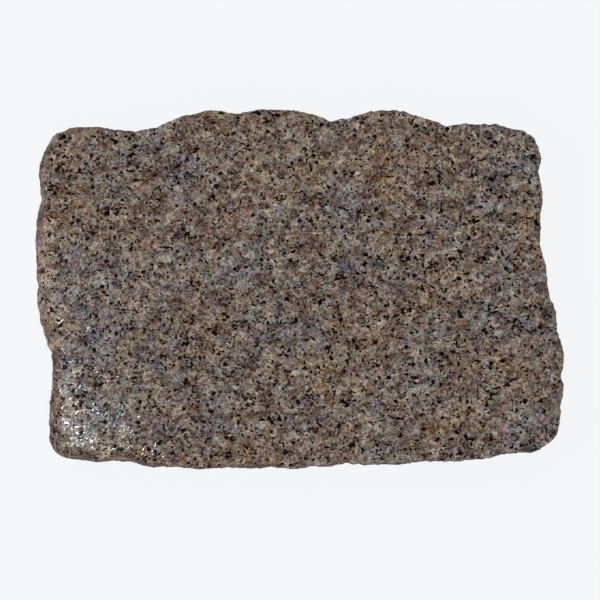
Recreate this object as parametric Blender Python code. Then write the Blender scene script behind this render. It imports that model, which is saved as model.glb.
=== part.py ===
"""A granite slab: the hard, heavy bench stone that leather is tooled and punched on.

It is one piece of stone. Its upper face is ground flat and polished, its underside is sawn flat,
and its sides are rock-pitched: broken off blow by blow with a chisel, so the outline is a run of
shallow scallops that meet in small notches, and each side stands out a little below the edge of
the polished face.

Metres, +Z up, +X along the slab. The origin lies on the surface that the slab rests on, under the
middle of its box.
"""

import math

import bmesh
import bpy

MM = 0.001

# Overall sizes: the box that the whole stone fills.
LENGTH = 305 * MM
WIDTH = 208 * MM
THICKNESS = 32 * MM

# How a side runs from the polished face down to the underside.
BREAK_DEPTH = 2.5 * MM  # the steep break-over just under the polished face
BREAK_SHARE = 0.45  # how much of the side's overhang is reached there
SHOULDER_DEPTH = 7 * MM
SHOULDER_SHARE = 0.85
BULGE_DEPTH = 15 * MM  # where the side stands out furthest
FOOT_HEIGHT = 6 * MM  # below this the side draws in to the underside
FOOT_SET_BACK = 0.6 * MM
UNDERCUT = 2.2 * MM  # how far the underside's edge lies inside the bulge

ARC_STEPS = 6  # straight runs in the arc of one scallop
CORNER_SQUARENESS = 6  # power of the rounded oblong that says which way is inward

# The stone's colour is the average of its grains.
STONE_COLOUR = (0.157, 0.122, 0.101, 1.0)
STONE_ROUGHNESS = 0.3

# The chisel blows, clockwise from the notch low on the left side. Each row is the notch where a
# scallop starts, how far the scallop then bows out from the straight line to the next notch, and
# how far the broken side stands out beyond the polished face at that notch. In millimetres from
# the middle of the slab; the finished outline is stretched to LENGTH and WIDTH.
SCALLOPS = [
    # left side, upwards
    (-141.5, -36.0, 1.0, 5.0),
    (-149.5, -13.5, 0.3, 8.5),
    (-150.5, 2.5, 2.7, 8.0),
    (-147.0, 52.5, 5.0, 4.0),
    (-139.5, 90.5, 0.5, 3.0),
    # far side, left to right
    (-129.5, 93.5, 0.7, 1.6),
    (-108.0, 92.8, 0.0, 1.8),
    (-93.5, 90.5, 0.6, 1.8),
    (-80.5, 93.0, 4.2, 1.5),
    (-34.5, 102.0, 0.6, 1.5),
    (-18.0, 103.5, 2.4, 1.5),
    (18.5, 97.0, 0.3, 1.8),
    (27.5, 98.5, 6.2, 1.5),
    (84.0, 94.5, 0.3, 1.8),
    (96.5, 96.0, 0.8, 1.5),
    # far right corner, then down the right side
    (129.0, 92.5, 4.6, 1.6),
    (138.5, 68.0, 2.0, 2.0),
    (139.5, 44.0, 0.0, 2.0),
    (139.0, 26.5, 0.8, 2.0),
    (145.0, -5.5, 1.3, 2.2),
    (148.5, -24.0, 2.1, 2.0),
    (151.5, -50.0, 0.7, 2.0),
    # near right corner, then the near side, right to left
    (151.5, -64.5, 7.1, 2.0),
    (133.5, -94.0, 0.0, 2.0),
    (113.5, -96.0, 0.6, 2.0),
    (89.5, -98.4, 1.0, 2.0),
    (70.5, -99.0, 1.2, 2.0),
    (26.5, -100.5, 0.5, 2.0),
    (7.5, -102.5, 1.1, 2.2),
    (-18.0, -102.5, 0.6, 2.5),
    (-42.0, -102.5, 1.4, 2.5),
    (-64.0, -102.7, 0.0, 2.8),
    (-86.0, -102.2, 0.0, 3.2),
    (-105.5, -99.0, 0.4, 5.5),
    # near left corner, and back up to the first notch
    (-129.7, -97.6, 4.5, 4.5),
    (-143.1, -82.0, 0.9, 5.5),
    (-142.5, -56.0, 0.8, 4.5),
]


def clear_scene():
    for item in list(bpy.data.objects):
        bpy.data.objects.remove(item, do_unlink=True)


def scalloped_outline():
    """Points (x, y, overhang) along the bulge of the sides, as drawn: each scallop is a parabola
    over the straight line between two notches, highest halfway."""
    points = []
    for number, (x, y, rise, overhang) in enumerate(SCALLOPS):
        next_x, next_y, _, next_overhang = SCALLOPS[(number + 1) % len(SCALLOPS)]
        along_x = next_x - x
        along_y = next_y - y
        span = math.hypot(along_x, along_y)
        for step in range(ARC_STEPS):
            share = step / ARC_STEPS
            bow = 4 * rise * share * (1 - share) / span
            points.append((
                x + share * along_x - bow * along_y,
                y + share * along_y + bow * along_x,
                (overhang + share * (next_overhang - overhang)) * MM,
            ))
    return points


def stretched(points):
    """The drawn outline moved and stretched so that its box is LENGTH by WIDTH, centred."""
    low_x = min(p[0] for p in points)
    low_y = min(p[1] for p in points)
    across_x = max(p[0] for p in points) - low_x
    across_y = max(p[1] for p in points) - low_y
    return [
        (LENGTH * ((x - low_x) / across_x - 0.5), WIDTH * ((y - low_y) / across_y - 0.5), overhang)
        for x, y, overhang in points
    ]


def inward(x, y):
    """The way into the stone from a point of the outline: across a rounded oblong of the slab's
    size, which turns smoothly where the scallops' own normals would jump at each notch."""
    power = CORNER_SQUARENESS - 1
    over_x = -math.copysign(abs(2 * x / LENGTH) ** power / LENGTH, x)
    over_y = -math.copysign(abs(2 * y / WIDTH) ** power / WIDTH, y)
    size = math.hypot(over_x, over_y)
    return over_x / size, over_y / size


def side_levels():
    """(height, share of the overhang still to come, further set-back) of each ring, top down."""
    return [
        (THICKNESS, 1.0, 0.0),
        (THICKNESS - BREAK_DEPTH, 1 - BREAK_SHARE, 0.0),
        (THICKNESS - SHOULDER_DEPTH, 1 - SHOULDER_SHARE, 0.0),
        (THICKNESS - BULGE_DEPTH, 0.0, 0.0),
        (FOOT_HEIGHT, 0.0, FOOT_SET_BACK),
        (0.0, 0.0, UNDERCUT),
    ]


def ring(bm, outline, height, overhang_share, set_back):
    """One closed loop of points round the stone, drawn in from the bulge."""
    loop = []
    for x, y, overhang in outline:
        step_in = overhang * overhang_share + set_back
        in_x, in_y = inward(x, y)
        loop.append(bm.verts.new((x + step_in * in_x, y + step_in * in_y, height)))
    return loop


def stone_material():
    material = bpy.data.materials.new("granite")
    material.use_nodes = True
    shader = material.node_tree.nodes["Principled BSDF"]
    shader.inputs["Base Color"].default_value = STONE_COLOUR
    shader.inputs["Roughness"].default_value = STONE_ROUGHNESS
    shader.inputs["Metallic"].default_value = 0.0
    return material


def granite_slab():
    """The whole stone: a stack of rings round its sides, closed by its two flat faces."""
    outline = stretched(scalloped_outline())
    bm = bmesh.new()
    rings = [ring(bm, outline, *level) for level in side_levels()]
    for upper, lower in zip(rings, rings[1:]):
        for here in range(len(outline)):
            after = (here + 1) % len(outline)
            bm.faces.new((upper[here], upper[after], lower[after], lower[here]))
    bm.faces.new(reversed(rings[0]))
    bm.faces.new(rings[-1])
    bmesh.ops.recalc_face_normals(bm, faces=bm.faces)
    mesh = bpy.data.meshes.new("granite_slab")
    bm.to_mesh(mesh)
    bm.free()
    mesh.materials.append(stone_material())
    slab = bpy.data.objects.new("granite_slab", mesh)
    bpy.context.collection.objects.link(slab)
    return slab


clear_scene()
granite_slab()
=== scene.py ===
# %% [markdown]
# # A granite slab for leatherwork
#
# The object is one stone: a flat, heavy slab that leather is tooled, stamped and punched on. Its
# upper face is ground and polished, its underside is sawn, and its sides are rock-pitched, which
# means that they were broken off blow by blow with a wide chisel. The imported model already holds
# the stone's true size and outline, but it is smooth. This lesson turns it into stone in four
# steps: the broken surface, the layout of its texture map, the minerals, and the light that shows
# the polish.

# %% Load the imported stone
import math

import bpy
import numpy as np
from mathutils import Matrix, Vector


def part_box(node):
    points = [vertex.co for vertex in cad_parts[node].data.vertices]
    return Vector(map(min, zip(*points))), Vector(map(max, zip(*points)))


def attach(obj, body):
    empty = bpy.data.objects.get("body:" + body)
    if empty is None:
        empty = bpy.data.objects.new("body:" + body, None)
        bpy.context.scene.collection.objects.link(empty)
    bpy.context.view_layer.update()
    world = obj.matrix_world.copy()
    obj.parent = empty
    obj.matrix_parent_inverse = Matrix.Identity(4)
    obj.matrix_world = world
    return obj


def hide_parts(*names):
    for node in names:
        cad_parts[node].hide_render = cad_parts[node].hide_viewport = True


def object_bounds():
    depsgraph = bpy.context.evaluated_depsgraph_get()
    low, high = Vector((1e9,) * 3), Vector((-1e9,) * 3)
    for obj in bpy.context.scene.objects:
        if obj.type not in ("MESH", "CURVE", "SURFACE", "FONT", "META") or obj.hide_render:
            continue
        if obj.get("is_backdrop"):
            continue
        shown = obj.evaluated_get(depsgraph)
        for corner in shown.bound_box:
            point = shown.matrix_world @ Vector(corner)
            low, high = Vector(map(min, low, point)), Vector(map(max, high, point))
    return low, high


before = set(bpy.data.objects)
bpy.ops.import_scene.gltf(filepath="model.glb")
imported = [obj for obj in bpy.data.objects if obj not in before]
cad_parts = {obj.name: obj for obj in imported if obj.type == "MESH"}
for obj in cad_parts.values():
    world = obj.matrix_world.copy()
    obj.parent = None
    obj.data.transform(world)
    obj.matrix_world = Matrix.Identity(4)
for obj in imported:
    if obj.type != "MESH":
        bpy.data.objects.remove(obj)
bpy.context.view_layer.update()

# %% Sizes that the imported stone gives
MM = 0.001
NODE = "granite_slab"
low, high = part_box(NODE)
length = high.x - low.x
width = high.y - low.y
thickness = high.z - low.z
print(f"stone {length / MM:.1f} x {width / MM:.1f} x {thickness / MM:.1f} mm")

# %% [markdown]
# ## The outline that the stone already has
#
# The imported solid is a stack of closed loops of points, one loop at each height where the side
# changes its slope. A broken stone could be sculpted by hand, or its outline drawn again. Here the
# loops are read as numbers instead, so the fine stone can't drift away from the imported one. Seen
# from the slab's middle, every loop is a radius that depends on a bearing, so the whole side is a
# function of two parameters: the bearing and the height.

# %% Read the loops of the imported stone
def loops_of(node):
    """The node's points sorted into loops, lowest first. Returns the heights, and for each height
    the bearings and radii of its points in order of bearing: a bearing is the angle of a point
    seen from the Z axis, and its radius is the distance from that axis."""
    flat = np.empty(3 * len(node.data.vertices), np.float32)
    node.data.vertices.foreach_get("co", flat)
    points = np.unique(flat.reshape(-1, 3).round(6), axis=0)
    heights = np.unique(points[:, 2])
    loops = []
    for height in heights:
        x, y, _ = points[points[:, 2] == height].T
        bearing = np.arctan2(y, x)
        order = np.argsort(bearing)
        loops.append((bearing[order], np.hypot(x, y)[order]))
    return heights, loops


levels, loops = loops_of(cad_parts[NODE])
print("loops at heights of", (levels / MM).round(1), "mm,", len(loops[0][0]), "points each")

# %% [markdown]
# ## A grid round the sides
#
# Columns of the grid stand at even distances round the stone and rows lie at even heights. Between
# two loops the side should run in one soft curve, as a break does, and not in flat bands. A spline
# object could do that. A cubic worked out for all columns at once is shorter and is exact at the
# loops.

# %% Bearings and heights of the grid
GRID_STEP = 0.72 * MM
MAP_STRIPS = 3  # the side is cut into this many strips on the texture map


def even_bearings(bearing, radius, step):
    """Bearings that walk round a loop in even steps: the distance from point to point is summed
    up, and the bearings are read back at equal shares of the whole way round."""
    x = radius * np.cos(bearing)
    y = radius * np.sin(bearing)
    pieces = np.hypot(np.diff(x, append=x[0]), np.diff(y, append=y[0]))
    run = np.concatenate([[0], np.cumsum(pieces)])
    count = MAP_STRIPS * round(run[-1] / step / MAP_STRIPS)
    turned = np.append(bearing, bearing[0] + 2 * np.pi)
    return np.interp(np.arange(count) * run[-1] / count, run, turned), run[-1]


widest = max(range(len(loops)), key=lambda number: loops[number][1].max())
bearings, girth = even_bearings(*loops[widest], GRID_STEP)
side_rows = round(thickness / GRID_STEP) + 1
heights = np.linspace(high.z, low.z, side_rows)
print(f"{len(bearings)} columns round a girth of {girth / MM:.0f} mm, {side_rows} rows")

# %% The smooth side
def smooth_profile(heights, levels, values):
    """A soft curve through the values at the levels, read at the heights. Each stretch between two
    levels is a cubic, and its slope at a level is the mean of the slopes on both sides."""
    slopes = np.gradient(values, levels, axis=0)
    upper = np.clip(np.searchsorted(levels, heights), 1, len(levels) - 1)
    lower = upper - 1
    gap = (levels[upper] - levels[lower])[:, None]
    share = (heights[:, None] - levels[lower][:, None]) / gap
    rest = 1 - share
    return (
        (1 + 2 * share) * rest**2 * values[lower]
        + share * rest**2 * gap * slopes[lower]
        + (1 + 2 * rest) * share**2 * values[upper]
        - rest * share**2 * gap * slopes[upper]
    )


level_radii = np.array([
    np.interp(bearings, bearing, radius, period=2 * np.pi) for bearing, radius in loops
])
radii = smooth_profile(heights, levels, level_radii)
side = np.stack([
    radii * np.cos(bearings),
    radii * np.sin(bearings),
    np.broadcast_to(heights[:, None], radii.shape),
], axis=2)
print("smooth side", side.shape)

# %% [markdown]
# ## The broken surface
#
# A chisel blow bursts flakes off the edge, and each leaves a shallow bowl. Where bowls meet there
# is a ridge, because the deeper bowl wins. So the break is the deepest of many bowls: wide flakes
# from the blows, with smaller chips all over them and nicks along the two edges. On top of that
# comes the coarse feel of the crystals. A displacement modifier could push the surface about
# with a noise texture, but noise has no ridges. Bowls have them.

# %% Bowls left by flakes, chips and nicks
# Each kind: how many, least and greatest radius, depth as a share of the radius, and the lowest
# and highest place of their middles as shares of the thickness.
BREAKS = {
    "flakes": (230, 6.0 * MM, 14.0 * MM, 0.13, 0.0, 0.85),
    "chips": (1500, 1.8 * MM, 5.0 * MM, 0.20, 0.0, 1.0),
    "face_nicks": (260, 0.9 * MM, 3.2 * MM, 0.20, 0.97, 1.03),
    "foot_nicks": (170, 1.0 * MM, 4.5 * MM, 0.30, -0.03, 0.03),
}
DEPTH_SPREAD = (0.5, 1.2)  # a bowl is this much of its kind's depth, at least and at most


def bowls(points, step, count, least, greatest, depth_share, lowest, highest, seed):
    """How deep the bowls cut at each point of the grid. A bowl is deepest at its middle, and gets
    shallower with the square of the distance until it is nothing at its radius. Small bowls are
    commoner than wide ones. Where bowls overlap, the deepest counts."""
    rng = np.random.default_rng(seed)
    rows, columns = points.shape[:2]
    cut = np.zeros((rows, columns))
    radius = least * (greatest / least) ** rng.random(count)
    depth = radius * depth_share * rng.uniform(*DEPTH_SPREAD, count)
    column = rng.integers(0, columns, count)
    height = low.z + thickness * rng.uniform(lowest, highest, count)
    row = np.clip(np.rint((high.z - height) / thickness * (rows - 1)), 0, rows - 1).astype(int)
    for number in range(count):
        reach = int(radius[number] / step) + 2
        near = (column[number] + np.arange(-reach, reach + 1)) % columns
        top = max(row[number] - reach, 0)
        bottom = row[number] + reach + 1
        middle = points[row[number], column[number]].copy()
        middle[2] = height[number]
        apart = ((points[top:bottom, near] - middle) ** 2).sum(axis=2)
        bowl = depth[number] * (1 - apart / radius[number] ** 2)
        cut[top:bottom, near] = np.maximum(cut[top:bottom, near], bowl)
    return cut


cuts = {
    kind: bowls(side, GRID_STEP, *sizes, seed=number)
    for number, (kind, sizes) in enumerate(BREAKS.items())
}
for kind, cut in cuts.items():
    print(f"{kind}: mean {cut.mean() / MM:.2f} mm, deepest {cut.max() / MM:.2f} mm")

# %% The feel of the crystals
CRYSTALS = ((3.2 * MM, 0.34 * MM), (1.6 * MM, 0.44 * MM))  # size and height of each sort
HASH_STEPS = np.array([73856093, 19349663, 83492791])  # primes that scatter the corners
HASH_SIZE = 8192  # how many random numbers the corners share


def crystal_noise(points, size, seed):
    """Smooth noise from -1 to 1. Space is divided into cubes of the given size, each corner has a
    random number, and a point blends the eight numbers round it with the ease 3t^2 - 2t^3."""
    numbers = np.random.default_rng(seed).uniform(-1, 1, HASH_SIZE)
    cell = np.floor(points / size).astype(np.int64)
    share = points / size - cell
    ease = share**2 * (3 - 2 * share)
    total = np.zeros(points.shape[:-1])
    for corner in np.ndindex(2, 2, 2):
        weight = np.where(corner, ease, 1 - ease).prod(axis=-1)
        total += weight * numbers[((cell + corner) * HASH_STEPS).sum(axis=-1) % HASH_SIZE]
    return total


grit = sum(
    height * crystal_noise(side, size, seed)
    for seed, (size, height) in enumerate(CRYSTALS, start=len(BREAKS))
)
print(f"grit stands up to {grit.max() / MM:.2f} mm proud")

# %% The way into the stone
CORNER_POWER = 6


def inward(x, y):
    """The level direction into the stone: against the normal of a rounded oblong of the slab's
    size, |2x/length|^n + |2y/width|^n = 1, which turns smoothly past every notch."""
    steep_x = np.sign(x) * np.abs(2 * x / length) ** (CORNER_POWER - 1) / length
    steep_y = np.sign(y) * np.abs(2 * y / width) ** (CORNER_POWER - 1) / width
    size = np.hypot(steep_x, steep_y)
    return -np.stack([steep_x / size, steep_y / size], axis=-1)


# %% Break the side
EVEN_CUT = 0.28 * MM  # a quarter of the mean cut, given back so that the stone keeps its size

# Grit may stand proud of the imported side, but only half-way to the wall of the stone's box.
room = np.minimum(high.x - np.abs(side[..., 0]), high.y - np.abs(side[..., 1]))
small_cuts = np.maximum.reduce([cuts["chips"], cuts["face_nicks"], cuts["foot_nicks"]])
cut = np.maximum(cuts["flakes"] + small_cuts + grit - EVEN_CUT, -room / 2)
broken = side.copy()
broken[..., :2] += cut[..., None] * inward(side[..., 0], side[..., 1])
print(f"cut mean {cut.mean() / MM:.2f} mm, from {cut.min() / MM:.2f} to {cut.max() / MM:.2f} mm")

# %% [markdown]
# ## The two flat faces
#
# The polished face and the sawn face are flat, so they need few rows: each is the edge loop drawn
# in towards the middle until it closes in one point. A polishing pad dips a little where it runs
# off the stone, so the face rolls over by about a quarter of a millimetre along its edge. That is
# too little to see as a shape, but enough to bend the reflection of a lamp.

# %% Rows from the middle of the face, over the edge and down to the middle of the underside
FACE_SHARES = (0.12, 0.35, 0.6, 0.78, 0.87)  # of the way from the middle to the edge
ROLL_INSETS = (10.0 * MM, 7.0 * MM, 4.5 * MM, 2.8 * MM, 1.5 * MM, 0.7 * MM)  # from the edge
ROLL_DROPS = (0.0, 0.02 * MM, 0.06 * MM, 0.105 * MM, 0.155 * MM, 0.20 * MM)
ARRIS_DROP = 0.28 * MM  # at the arris, which is the edge itself
FOOT_INSET = 0.5 * MM


def drawn_in(loop, share, height):
    """The loop with its radius times the share, laid flat at a height."""
    return np.stack([share * loop[:, 0], share * loop[:, 1], np.full(len(loop), height)], axis=1)


def edge_share(loop, inset):
    """The share of its radius that a point keeps when it moves in by the inset."""
    return 1 - inset / np.hypot(loop[:, 0], loop[:, 1])


broken[0, :, 2] = high.z - ARRIS_DROP
face_rows = [drawn_in(broken[0], share, high.z) for share in FACE_SHARES]
face_rows += [
    drawn_in(broken[0], edge_share(broken[0], inset), high.z - drop)
    for inset, drop in zip(ROLL_INSETS, ROLL_DROPS)
]
sawn_rows = [drawn_in(broken[-1], edge_share(broken[-1], FOOT_INSET), low.z)]
sawn_rows += [drawn_in(broken[-1], share, low.z) for share in reversed(FACE_SHARES)]
grid = np.concatenate([np.array(face_rows), broken, np.array(sawn_rows)])
arris_row = len(face_rows)
foot_row = arris_row + side_rows - 1
print("grid", grid.shape)

# %% Corners of every face of the mesh
columns = len(bearings)
here = np.arange(columns)
after = (here + 1) % columns
face_middle = grid.shape[0] * columns
sawn_middle = face_middle + 1


def quads(rows):
    """The squares between each row and the next, each as upper here, lower here, lower after and
    upper after, which turns anticlockwise seen from outside the stone."""
    upper = np.asarray(rows)[:, None] * columns
    lower = upper + columns
    return np.stack([upper + here, lower + here, lower + after, upper + after], axis=-1)


squares = quads(range(grid.shape[0] - 1))
first_loop = np.stack([np.full(columns, face_middle), here, after], axis=-1)
last_row = (grid.shape[0] - 1) * columns
last_loop = np.stack([last_row + here, np.full(columns, sawn_middle), last_row + after], axis=-1)
points = np.concatenate([
    grid.reshape(-1, 3),
    [[0.0, 0.0, high.z], [0.0, 0.0, low.z]],
])
faces = squares.reshape(-1, 4).tolist() + first_loop.tolist() + last_loop.tolist()
print(len(points), "points,", len(faces), "faces")

# %% Make the stone
def new_mesh_object(name, points, faces):
    """A smooth-shaded object of these points and faces, added to the scene."""
    mesh = bpy.data.meshes.new(name)
    mesh.from_pydata(points, [], faces, shade_flat=False)
    mesh.update()
    thing = bpy.data.objects.new(name, mesh)
    bpy.context.scene.collection.objects.link(thing)
    return thing


stone = new_mesh_object("granite_stone", points, faces)
print("stone made,", sum(len(face) - 2 for face in faces), "triangles")

# %% [markdown]
# ## A texture map that gives the polish the most room
#
# When the stone leaves Blender its minerals are baked into pictures, and a map says which part of
# a picture each face gets. Blender can unwrap a mesh by itself, but it gives every square
# millimetre the same share and cuts a rough side into hundreds of scraps. The stone's own grid
# already knows better: the polished face lies flat in one corner, the side is three long strips
# above it, and the underside, which is hardly seen, gets a small place beside the face.

# %% Lay out the map
MAP_GAP = 0.006  # clear space between the parts, as a share of the map's width
FACE_ON_MAP = 0.78  # the share of that width that the polished face takes

face_scale = FACE_ON_MAP / length
sawn_scale = (1 - FACE_ON_MAP - 3 * MAP_GAP) / width
strip_length = columns // MAP_STRIPS
strip_width = 1 - 2 * MAP_GAP
strip_height = strip_width * thickness / (girth / MAP_STRIPS)


def face_place(x, y):
    """Where a point of the polished face lies on the map: flat, as seen from above."""
    return np.stack([MAP_GAP + (x - low.x) * face_scale, MAP_GAP + (y - low.y) * face_scale], -1)


def sawn_place(x, y):
    """Where a point of the underside lies on the map: flat, turned a quarter, beside the face."""
    return np.stack([
        2 * MAP_GAP + FACE_ON_MAP + (y - low.y) * sawn_scale,
        MAP_GAP + (x - low.x) * sawn_scale,
    ], -1)


def side_place(column, row, strip):
    """Where a point of the side lies on the map: columns run along a strip and rows across it."""
    base = 2 * MAP_GAP + width * face_scale + strip * (strip_height + MAP_GAP)
    return np.stack(np.broadcast_arrays(
        MAP_GAP + (column - strip * strip_length) / strip_length * strip_width,
        base + (foot_row - row) / (side_rows - 1) * strip_height,
    ), -1)


corner_x = points[squares, 0]
corner_y = points[squares, 1]
rows = np.arange(grid.shape[0] - 1)[:, None, None]
corner_row = rows + np.array([0, 1, 1, 0])
corner_column = here[None, :, None] + np.array([0, 0, 1, 1])
strip = (here // strip_length)[None, :, None]
square_places = np.where(
    (rows < arris_row)[..., None],
    face_place(corner_x, corner_y),
    np.where(
        (rows < foot_row)[..., None],
        side_place(corner_column, corner_row, strip),
        sawn_place(corner_x, corner_y),
    ),
)
places = np.concatenate([
    square_places.reshape(-1, 2),
    face_place(points[first_loop, 0], points[first_loop, 1]).reshape(-1, 2),
    sawn_place(points[last_loop, 0], points[last_loop, 1]).reshape(-1, 2),
])
stone_map = stone.data.uv_layers.new(name="OFBake")
stone_map.uv.foreach_set("vector", places.astype(np.float32).ravel())
print("map from", places.min(axis=0).round(3), "to", places.max(axis=0).round(3))

# %% [markdown]
# ## Which part of the surface is which
#
# One stone has three finishes: polished, broken and sawn. Three materials would do, but their
# minerals would have to be kept alike by hand. Instead each point of the mesh carries two numbers,
# how broken and how sawn the surface is there, and one material reads them.

# %% Mark the broken and the sawn surface
def mark(thing, name, values):
    """Gives every point of the mesh a number that a material can read by name."""
    attribute = thing.data.attributes.new(name=name, type="FLOAT", domain="POINT")
    attribute.data.foreach_set("value", values.astype(np.float32).ravel())


row_of_point = np.append(np.repeat(np.arange(grid.shape[0]), columns), [0, grid.shape[0]])
mark(stone, "broken", (row_of_point >= arris_row) & (row_of_point <= foot_row))
mark(stone, "sawn", row_of_point > foot_row)

ends = np.empty(2 * len(stone.data.edges), np.int32)
stone.data.edges.foreach_get("vertices", ends)
end_rows = row_of_point[ends.reshape(-1, 2)]
sharp = (end_rows[:, 0] == end_rows[:, 1]) & np.isin(end_rows[:, 0], (arris_row, foot_row))
stone.data.attributes.new(name="sharp_edge", type="BOOLEAN", domain="EDGE")
stone.data.attributes["sharp_edge"].data.foreach_set("value", sharp)
print(int(sharp.sum()), "sharp edges")

# %% Short words for building a node tree
def add(tree, kind, inputs=None, **settings):
    """Adds a node. Settings are the node's own properties. Inputs are sockets by name or number,
    each with a value or with another node's output to link."""
    node = tree.nodes.new(kind)
    for name, value in settings.items():
        setattr(node, name, value)
    for name, value in (inputs or {}).items():
        if isinstance(value, bpy.types.NodeSocket):
            tree.links.new(value, node.inputs[name])
        else:
            node.inputs[name].default_value = value
    return node


def maths(tree, operation, *values):
    """One sum on numbers or sockets."""
    return add(tree, "ShaderNodeMath", dict(enumerate(values)), operation=operation).outputs[0]


def weighted(tree, base, *terms):
    """base + weight * (value - 0.5) for each pair of value and weight."""
    total = base
    for value, weight in terms:
        centred = maths(tree, "SUBTRACT", value, 0.5)
        total = maths(tree, "MULTIPLY_ADD", centred, weight, total)
    return total


def between(tree, share, first, second):
    """first where the share is 0, second where it is 1."""
    node = add(tree, "ShaderNodeMix", {0: share, 2: first, 3: second}, data_type="FLOAT")
    return node.outputs[0]


def eased(tree, value, start, end):
    """0 below start, 1 above end, and a soft step between them."""
    inputs = {"Value": value, "From Min": start, "From Max": end}
    return add(
        tree, "ShaderNodeMapRange", inputs, interpolation_type="SMOOTHSTEP"
    ).outputs[0]


def cloud(tree, place, size, detail=2.0, roughness=0.5):
    """Soft noise with blobs of the given size in millimetres, about 0.5 on average."""
    inputs = {"Vector": place, "Scale": 1 / size, "Detail": detail, "Roughness": roughness}
    return add(tree, "ShaderNodeTexNoise", inputs).outputs[0]


def crystals(tree, place, size):
    """Crystals of the given size in millimetres. Returns three random numbers for each."""
    cells = add(tree, "ShaderNodeTexVoronoi", {"Vector": place, "Scale": 1 / size})
    numbers = add(tree, "ShaderNodeSeparateColor", {0: cells.outputs["Color"]})
    return numbers.outputs[0], numbers.outputs[1], numbers.outputs[2]


# %% [markdown]
# ## The minerals
#
# Granite is a tight mosaic of crystals that grew into each other. This one has grey quartz, beige
# and brownish feldspar and black mica, a millimetre or two across, with softer clouds of warmer
# and cooler stone over several centimetres. A picture of granite would repeat and would stretch on
# the sides. Cells in space don't: the same block of cells is cut by the face and by the sides, so
# the crystals run round the edge as they do in real stone.

# %% Where the material is, in millimetres
CUT_FROM = (150.0, -1260.0, -1720.0)  # the place in the rock that the slab was cut from
GRAIN_STRETCH = (0.9, 1.0, 1.0)  # the crystals are a little longer along the slab
PUSH_SIZE = 1.25  # size of the noise that makes the borders of the crystals crooked
PUSH_REACH = (1.0, 1.0, 1.0)  # how far it pushes along each axis
NOISE_MIDDLE = (0.5, 0.5, 0.5)


def stone_place(tree):
    """The spot on the slab in millimetres, the place in the rock that it was cut from, and that
    place pushed about by fine noise, so that the cells' straight borders turn crooked."""
    spot = add(tree, "ShaderNodeTexCoord").outputs["Object"]
    spot = add(
        tree, "ShaderNodeVectorMath", {0: spot, 3: 1 / MM}, operation="SCALE"
    ).outputs[0]
    inputs = {"Vector": spot, "Location": CUT_FROM, "Scale": GRAIN_STRETCH}
    place = add(tree, "ShaderNodeMapping", inputs).outputs[0]
    push = add(tree, "ShaderNodeTexNoise", {"Vector": place, "Scale": 1 / PUSH_SIZE, "Detail": 2.0})
    push = add(
        tree, "ShaderNodeVectorMath", {0: push.outputs["Color"], 1: NOISE_MIDDLE},
        operation="SUBTRACT",
    ).outputs[0]
    crooked = add(
        tree, "ShaderNodeVectorMath", {0: push, 1: PUSH_REACH, 2: place}, operation="MULTIPLY_ADD"
    ).outputs[0]
    return spot, place, crooked


# %% Flakes of black mica
MICA_LEAST = 0.05  # the share of the crystals that are mica between the clusters
MICA_MORE = 0.15  # and how much more of them are mica inside a cluster
CLUSTER_SIZE = 7.0
CLUSTER_START = 0.38  # the noise at which a cluster begins
CLUSTER_END = 0.66  # and at which it is as crowded as it gets
SMALL_FLAKE = 1.1
LARGE_FLAKE = 1.95
LARGE_SHARE = 0.26  # how common large flakes are, against small ones


def mica_share(tree, place, crooked):
    """1 in a flake of black mica and 0 elsewhere, and a random number for each flake. A crystal
    is mica if its random number is below a limit, and the limit is higher in some clouds, so the
    flakes gather in clusters."""
    crowd = eased(tree, cloud(tree, place, CLUSTER_SIZE), CLUSTER_START, CLUSTER_END)
    limit = maths(tree, "MULTIPLY_ADD", crowd, MICA_MORE, MICA_LEAST)
    small = crystals(tree, crooked, SMALL_FLAKE)
    large = crystals(tree, crooked, LARGE_FLAKE)
    is_small = maths(tree, "LESS_THAN", small[0], limit)
    is_large = maths(tree, "LESS_THAN", large[1], maths(tree, "MULTIPLY", limit, LARGE_SHARE))
    return maths(tree, "MAXIMUM", is_small, is_large), small[2]


# %% Light and dark crystals
STONE_TONE = 0.401  # on average
# Each sort of crystal or cloud: its size in millimetres, and how much lighter its lightest places
# are than its darkest.
FINE_CRYSTALS = (0.8, 0.255)
MIDDLING_CRYSTALS = (1.6, 0.20)
COARSE_CRYSTALS = (3.4, 0.15)
SMALL_CLOUDS = (8.0, 0.24)
WIDE_CLOUDS = (24.0, 0.10)
BEIGE_CLOUDS = (6.5, 0.24)


def stone_tone(tree, place, crooked, beige):
    """How light the stone looks to the eye, from 0 for black to 1 for white, without the mica."""
    return weighted(
        tree, STONE_TONE,
        (crystals(tree, crooked, FINE_CRYSTALS[0])[2], FINE_CRYSTALS[1]),
        (crystals(tree, crooked, MIDDLING_CRYSTALS[0])[1], MIDDLING_CRYSTALS[1]),
        (crystals(tree, crooked, COARSE_CRYSTALS[0])[0], COARSE_CRYSTALS[1]),
        (cloud(tree, place, SMALL_CLOUDS[0]), SMALL_CLOUDS[1]),
        (cloud(tree, place, WIDE_CLOUDS[0]), WIDE_CLOUDS[1]),
        (beige, BEIGE_CLOUDS[1]),
    )


# %% The hue of the crystals
HUE_CRYSTAL = 2.1
RUST_CLOUD = 5.5
WARM_CLOUD = 30.0
STONE_RED = 0.047  # how much redder than green the stone is on average
STONE_YELLOW = 0.034  # how much greener than blue it is on average


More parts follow.
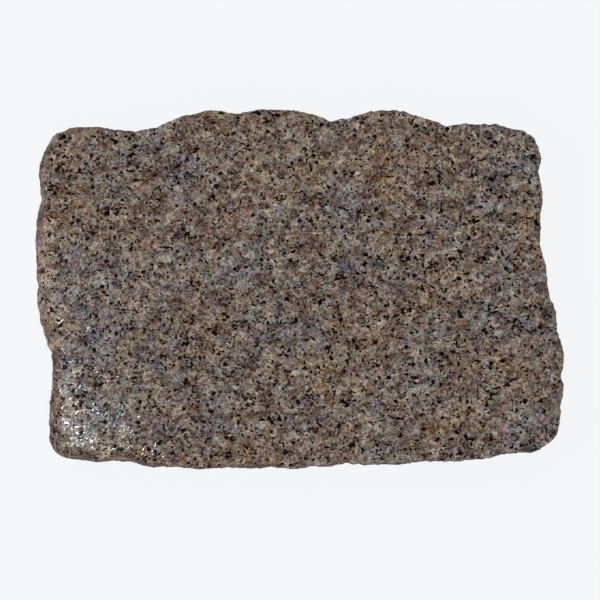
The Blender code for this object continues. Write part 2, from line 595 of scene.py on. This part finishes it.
def stone_hue(tree, place, crooked, tone, beige):
    """How much redder than green and how much greener than blue the stone looks. Little of both
    is grey quartz, much of both is rusty, more of the first is pinkish feldspar and more of the
    second is beige feldspar. Light crystals look a little less red than dark ones. Each pair is a
    pattern and how much it sways the hue."""
    pink = crystals(tree, crooked, HUE_CRYSTAL)[0]
    rust = cloud(tree, place, RUST_CLOUD)
    warmth = cloud(tree, place, WARM_CLOUD)
    red = weighted(
        tree, STONE_RED, (pink, 0.035), (rust, 0.16), (warmth, 0.11), (tone, -0.055)
    )
    yellow = weighted(
        tree, STONE_YELLOW, (pink, -0.03), (rust, 0.08), (beige, 0.14), (warmth, 0.11)
    )
    return red, yellow


# %% From tone and hue to colour
RED_EYE = 0.21  # the share of the brightness that the eye takes from red light
BLUE_EYE = 0.07
BLACKEST = 0.01
EYE_POWER = 2.2


def colour_from(tree, tone, red, yellow):
    """The colour whose brightness to the eye is the tone, with the given hue: the eye takes 0.21
    of its brightness from red, 0.72 from green and 0.07 from blue. A power of 2.2 then turns what
    the eye sees into how much light the stone sends back."""
    green = maths(tree, "MULTIPLY_ADD", yellow, BLUE_EYE, tone)
    green = maths(tree, "MULTIPLY_ADD", red, -RED_EYE, green)
    channels = {
        0: maths(tree, "MAXIMUM", maths(tree, "ADD", green, red), BLACKEST),
        1: maths(tree, "MAXIMUM", green, BLACKEST),
        2: maths(tree, "MAXIMUM", maths(tree, "SUBTRACT", green, yellow), BLACKEST),
    }
    seen = add(tree, "ShaderNodeCombineColor", channels).outputs[0]
    return add(tree, "ShaderNodeGamma", {0: seen, 1: EYE_POWER}).outputs[0]


# %% Where the break is stained beige, and where a patch of it is lightened as painted light
PATCH_MIDDLE = (-154.0, -5.0, 20.0)  # high on the left side
PATCH_SQUEEZE = (1.8, 0.8, 1.0)  # the patch is narrow across the edge and long along it
PATCH_REACH = 52.0  # where the patch ends, measured in the squeezed stone
PATCH_CORE = 18.0  # and where it is full
PATCH_ON_FACE = 0.8  # how strong the stain and its painted light are on the polished face
STAIN_CLOUD = 8.0
STAIN_START = 0.50
STAIN_END = 0.62
STAIN_MORE = 0.20  # how much more of the surface is stained inside the patch


def stain_and_painted_light_share(tree, spot, place, broken):
    """0 on a fresh surface and 1 where the stone is stained beige: in small clouds all round the
    break, and in one wide patch on the left side, where the stain has crept on to the face. The
    share is also used to lighten the stone, and in the patch that lightening is painted light on
    the side that faces the strongest softbox."""
    squeezed = add(
        tree, "ShaderNodeVectorMath", {0: spot, 1: PATCH_SQUEEZE}, operation="MULTIPLY"
    ).outputs[0]
    middle = tuple(at * squeeze for at, squeeze in zip(PATCH_MIDDLE, PATCH_SQUEEZE))
    apart = add(
        tree, "ShaderNodeVectorMath", {0: squeezed, 1: middle}, operation="DISTANCE"
    ).outputs["Value"]
    patch = eased(tree, apart, PATCH_REACH, PATCH_CORE)
    clouds = maths(tree, "MULTIPLY_ADD", patch, STAIN_MORE, cloud(tree, place, STAIN_CLOUD))
    whole = maths(tree, "MAXIMUM", broken, maths(tree, "MULTIPLY", patch, PATCH_ON_FACE))
    return maths(tree, "MULTIPLY", whole, eased(tree, clouds, STAIN_START, STAIN_END))


# %% [markdown]
# ## The three finishes
#
# Polish fills the pores and makes the crystals look deep and wet. It isn't quite flat: the face
# swells a little from place to place, and the polishing pad leaves fine slanting strokes that only
# show where a lamp is mirrored. A break is dull and dusty, its crystals catch the light one by
# one, and rain and dirt have stained it. Its colour is also darkened as painted shade, and in a
# wide patch on the left side the stain's lightening is painted light. The sawn face is evenly dull
# and paler. Three separate materials could hold these finishes. One material that blends them by
# the broken and the sawn mark keeps the same crystals on both sides of an edge.

# %% The colour of the granite
PAINTED_SIDE_SHADE = -0.055  # painted shade: the break is made a little darker, as if its steep sides lay in shade; a sawn face is paler
SAWN_TONE = 0.07
# painted light in part: the stain lightens the stone, and in the patch on the left side this stands
# in for the light of the strongest softbox
STAIN_AND_PAINTED_LIGHT_TONE = 0.115
STAIN_RED = 0.018
STAIN_YELLOW = 0.022
MICA_TONE = 0.03  # the darkest flakes, and how much lighter the lightest are
MICA_TONE_SPREAD = 0.10
MICA_RED = 0.025
MICA_RED_SPREAD = 0.03
MICA_YELLOW = 0.014


def granite_colour(tree, spot, place, crooked, broken, sawn, mica, flake):
    """The stone's own tone and hue, changed where it is broken, stained or sawn, and then covered
    by the mica. The darkening of the break is painted shade, and the stain's lightening in the
    patch on the left side is painted light. Each change is the mark times its amount, added on."""
    beige = cloud(tree, crooked, BEIGE_CLOUDS[0])
    tone = stone_tone(tree, place, crooked, beige)
    red, yellow = stone_hue(tree, place, crooked, tone, beige)
    stain_and_painted_light = stain_and_painted_light_share(tree, spot, place, broken)
    # painted shade: the broken sides are made darker, as if they lay in shade
    tone = maths(tree, "MULTIPLY_ADD", broken, PAINTED_SIDE_SHADE, tone)
    # the stain's lightening, which is painted light in the patch on the left side
    tone = maths(tree, "MULTIPLY_ADD", stain_and_painted_light, STAIN_AND_PAINTED_LIGHT_TONE, tone)
    red = maths(tree, "MULTIPLY_ADD", stain_and_painted_light, STAIN_RED, red)
    yellow = maths(tree, "MULTIPLY_ADD", stain_and_painted_light, STAIN_YELLOW, yellow)
    tone = maths(tree, "MULTIPLY_ADD", sawn, SAWN_TONE, tone)
    mica_tone = maths(tree, "MULTIPLY_ADD", flake, MICA_TONE_SPREAD, MICA_TONE)
    mica_red = maths(tree, "MULTIPLY_ADD", flake, MICA_RED_SPREAD, MICA_RED)
    return colour_from(
        tree,
        between(tree, mica, tone, mica_tone),
        between(tree, mica, red, mica_red),
        between(tree, mica, yellow, MICA_YELLOW),
    )


# %% The sheen of the granite
STONE_GLOSS = 0.5
MICA_GLOSS = 0.1
POLISHED = 0.055
POLISHED_SPREAD = 0.04  # from crystal to crystal
POLISHED_CRYSTAL = 1.2
BROKEN_ROUGH = 0.78
SAWN_ROUGH = 0.62


def granite_roughness(tree, crooked, broken, sawn):
    """Nearly a mirror on the polish, a little different on each crystal, and dull elsewhere."""
    crystal = crystals(tree, crooked, POLISHED_CRYSTAL)[0]
    polished = weighted(tree, POLISHED, (crystal, POLISHED_SPREAD))
    return between(tree, sawn, between(tree, broken, polished, BROKEN_ROUGH), SAWN_ROUGH)


# %% The finest bumps of the granite
# Each has a size and a height in millimetres.
SWELL = (11.0, 0.28)
STROKES = (1.15, 0.075)
STROKE_SLANT = math.radians(50)
STROKE_STRETCH = (0.28, 1.0, 1.0)
BROKEN_GRIT = (1.1, 0.45)


def granite_bumps(tree, place, broken):
    """Height of the surface in millimetres: noise in wide swells, plus noise in thin strokes that
    run up to the right, and on the break a coarse noise instead."""
    slant = {0: place, "Rotation": (0, 0, -STROKE_SLANT)}
    turned = add(tree, "ShaderNodeMapping", slant).outputs[0]
    stretched = add(tree, "ShaderNodeMapping", {0: turned, "Scale": STROKE_STRETCH}).outputs[0]
    swell = maths(tree, "MULTIPLY", cloud(tree, place, SWELL[0], detail=1.0), SWELL[1])
    strokes = cloud(tree, stretched, STROKES[0], detail=0.0)
    polished = maths(tree, "MULTIPLY_ADD", strokes, STROKES[1], swell)
    grit = maths(tree, "MULTIPLY", cloud(tree, place, BROKEN_GRIT[0]), BROKEN_GRIT[1])
    height = between(tree, broken, polished, grit)
    return add(tree, "ShaderNodeBump", {"Height": height, "Distance": MM}).outputs[0]


# %% The granite
def granite():
    """The one material of the stone. It reads the marks that the mesh carries."""
    material = bpy.data.materials.new("granite_minerals")
    material.use_nodes = True
    tree = material.node_tree
    spot, place, crooked = stone_place(tree)
    broken = add(tree, "ShaderNodeAttribute", attribute_name="broken").outputs["Fac"]
    sawn = add(tree, "ShaderNodeAttribute", attribute_name="sawn").outputs["Fac"]
    mica, flake = mica_share(tree, place, crooked)
    finish = {
        "Base Color": granite_colour(tree, spot, place, crooked, broken, sawn, mica, flake),
        "Specular IOR Level": between(tree, mica, STONE_GLOSS, MICA_GLOSS),
        "Roughness": granite_roughness(tree, crooked, broken, sawn),
        "Normal": granite_bumps(tree, place, broken),
    }
    shader = tree.nodes["Principled BSDF"]
    for name, value in finish.items():
        tree.links.new(value, shader.inputs[name])
    print("granite made of", len(tree.nodes), "nodes")
    return material


stone.data.materials.append(granite())
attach(stone, "root")
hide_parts(NODE)

# %% [markdown]
# ## Floor, light and camera
#
# The slab lies on a pale studio floor. Four large softboxes hang round it, half-way up, so the
# polished face mirrors them neither to a camera overhead nor to one near the floor, and the
# minerals keep their depth. Three small lamps and a dim window are where the face does mirror
# them: their reflection falls on the near left corner and shows that the face is polished.

# %% The floor
FLOOR_SIZE = 30.0
FLOOR_GAP = 0.2 * MM
PAPER_COLOUR = (0.05, 0.05, 0.05, 1.0)
PAPER_ROUGHNESS = 0.9
PAPER_GLOSS = 0.1
PAPER_GLOW_COLOUR = (0.973, 0.984, 1.0, 1.0)
PAPER_GLOW = 0.89


def studio_paper():
    """Pale paper that glows evenly, so that it shows hardly any shadow."""
    material = bpy.data.materials.new("studio_paper")
    material.use_nodes = True
    shader = material.node_tree.nodes["Principled BSDF"]
    shader.inputs["Base Color"].default_value = PAPER_COLOUR
    shader.inputs["Roughness"].default_value = PAPER_ROUGHNESS
    shader.inputs["Specular IOR Level"].default_value = PAPER_GLOSS
    shader.inputs["Emission Color"].default_value = PAPER_GLOW_COLOUR
    shader.inputs["Emission Strength"].default_value = PAPER_GLOW
    return material


def pale_floor():
    """One large square just below the stone."""
    half = FLOOR_SIZE / 2
    z = low.z - FLOOR_GAP
    corners = [(-half, -half, z), (half, -half, z), (half, half, z), (-half, half, z)]
    floor = new_mesh_object("studio_floor", corners, [(0, 1, 2, 3)])
    floor.data.materials.append(studio_paper())
    floor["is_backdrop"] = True


pale_floor()
print(f"floor {FLOOR_SIZE:.0f} m wide, {FLOOR_GAP / MM:.1f} mm under the stone")

# %% The camera
CAMERA_HEIGHT = 1.5
VIEW_WIDTH = 346.5 * MM  # what the camera sees across the slab
SENSOR = 36.0  # in millimetres, as Blender wants it
AIM_X = 0.8 * MM  # the point that it looks straight down at
AIM_Y = -5.8 * MM


def straight_down_camera():
    """A camera that looks down. Its lens is the sensor's width times the distance to the middle
    of the stone's thickness, divided by the width that it sees there."""
    data = bpy.data.cameras.new("camera")
    data.sensor_width = SENSOR
    data.lens = SENSOR * (CAMERA_HEIGHT - thickness / 2) / VIEW_WIDTH
    camera = bpy.data.objects.new("camera", data)
    camera.location = (AIM_X, AIM_Y, CAMERA_HEIGHT)
    bpy.context.scene.collection.objects.link(camera)
    bpy.context.scene.camera = camera
    return camera


camera = straight_down_camera()
print(f"lens {camera.data.lens:.0f} mm")

# %% The softboxes
def softbox(name, place, size, power, colour=(1.0, 1.0, 1.0), aim=(0.0, 0.0, 0.0)):
    """A square area lamp that faces a point. Its tilt from straight down has a tangent of the level
    distance over the drop, and it is turned about Z to the bearing of the point."""
    data = bpy.data.lights.new(name, "AREA")
    data.shape = "SQUARE"
    data.size = size
    data.energy = power
    data.color = colour
    lamp = bpy.data.objects.new(name, data)
    lamp.location = place
    towards = [to - start for to, start in zip(aim, place)]
    lamp.rotation_euler = (
        math.atan2(math.hypot(towards[0], towards[1]), -towards[2]),
        0.0,
        math.atan2(towards[1], towards[0]) - math.pi / 2,
    )
    lamp.visible_camera = False
    bpy.context.scene.collection.objects.link(lamp)


SOFTBOX_AWAY = 1.5
SOFTBOX_HEIGHT = 1.95
SOFTBOX_SIZE = 1.2
SOFTBOX_POWERS = {"right": 8.5, "far": 17.0, "left": 31.0, "near": 17.0}
for number, (name, power) in enumerate(SOFTBOX_POWERS.items()):
    turn = number * math.pi / 2
    place = (SOFTBOX_AWAY * math.cos(turn), SOFTBOX_AWAY * math.sin(turn), SOFTBOX_HEIGHT)
    softbox(f"softbox_{name}", place, SOFTBOX_SIZE, power)
print(len(SOFTBOX_POWERS), "softboxes,", sum(SOFTBOX_POWERS.values()), "W in all")

# %% The lamps that the polish mirrors
MIRRORED_RISE = 1.2  # how high above the face they hang
BULB_SIZE = 12 * MM
WINDOW_SIZE = 260 * MM
BULB_COLOUR = (0.86, 0.94, 1.0)
SKY_COLOUR = (0.66, 0.84, 1.0)

# Each lamp: the point of the face's plane that mirrors it, its size, power and colour.
MIRRORED_LAMPS = {
    "bulb": (-148 * MM, -91 * MM, BULB_SIZE, 0.11, BULB_COLOUR),
    "near_bulb": (-122 * MM, -98 * MM, BULB_SIZE, 0.075, BULB_COLOUR),
    "high_bulb": (-142 * MM, -52 * MM, BULB_SIZE, 0.05, BULB_COLOUR),
    "window": (-160 * MM, -40 * MM, WINDOW_SIZE, 0.11, SKY_COLOUR),
}


def mirrored_lamp(name, x, y, size, power, colour):
    """A lamp placed so that the face mirrors it into the camera at a point of the face: on the
    camera's line to that point, turned back upwards by the mirror."""
    reach = MIRRORED_RISE / (CAMERA_HEIGHT - high.z)
    place = (x + (x - AIM_X) * reach, y + (y - AIM_Y) * reach, high.z + MIRRORED_RISE)
    softbox(name, place, size, power, colour, (x, y, high.z))


for name, lamp in MIRRORED_LAMPS.items():
    mirrored_lamp(name, *lamp)
print(len(MIRRORED_LAMPS), "mirrored lamps")

# %% The room
ROOM_LIGHT = 0.05


def dim_world(strength):
    """An even white glow from all round."""
    world = bpy.data.worlds.new("dim_room")
    world.use_nodes = True
    background = world.node_tree.nodes["Background"]
    background.inputs["Color"].default_value = (1.0, 1.0, 1.0, 1.0)
    background.inputs["Strength"].default_value = strength
    bpy.context.scene.world = world


dim_world(ROOM_LIGHT)
print("room light", ROOM_LIGHT)
bpy.context.scene.view_settings.view_transform = "Standard"

# %% Measure and finish
new_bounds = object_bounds()
for end, corner in zip(("from", "to"), new_bounds):
    print(end, [round(at / MM, 1) for at in corner], "mm")
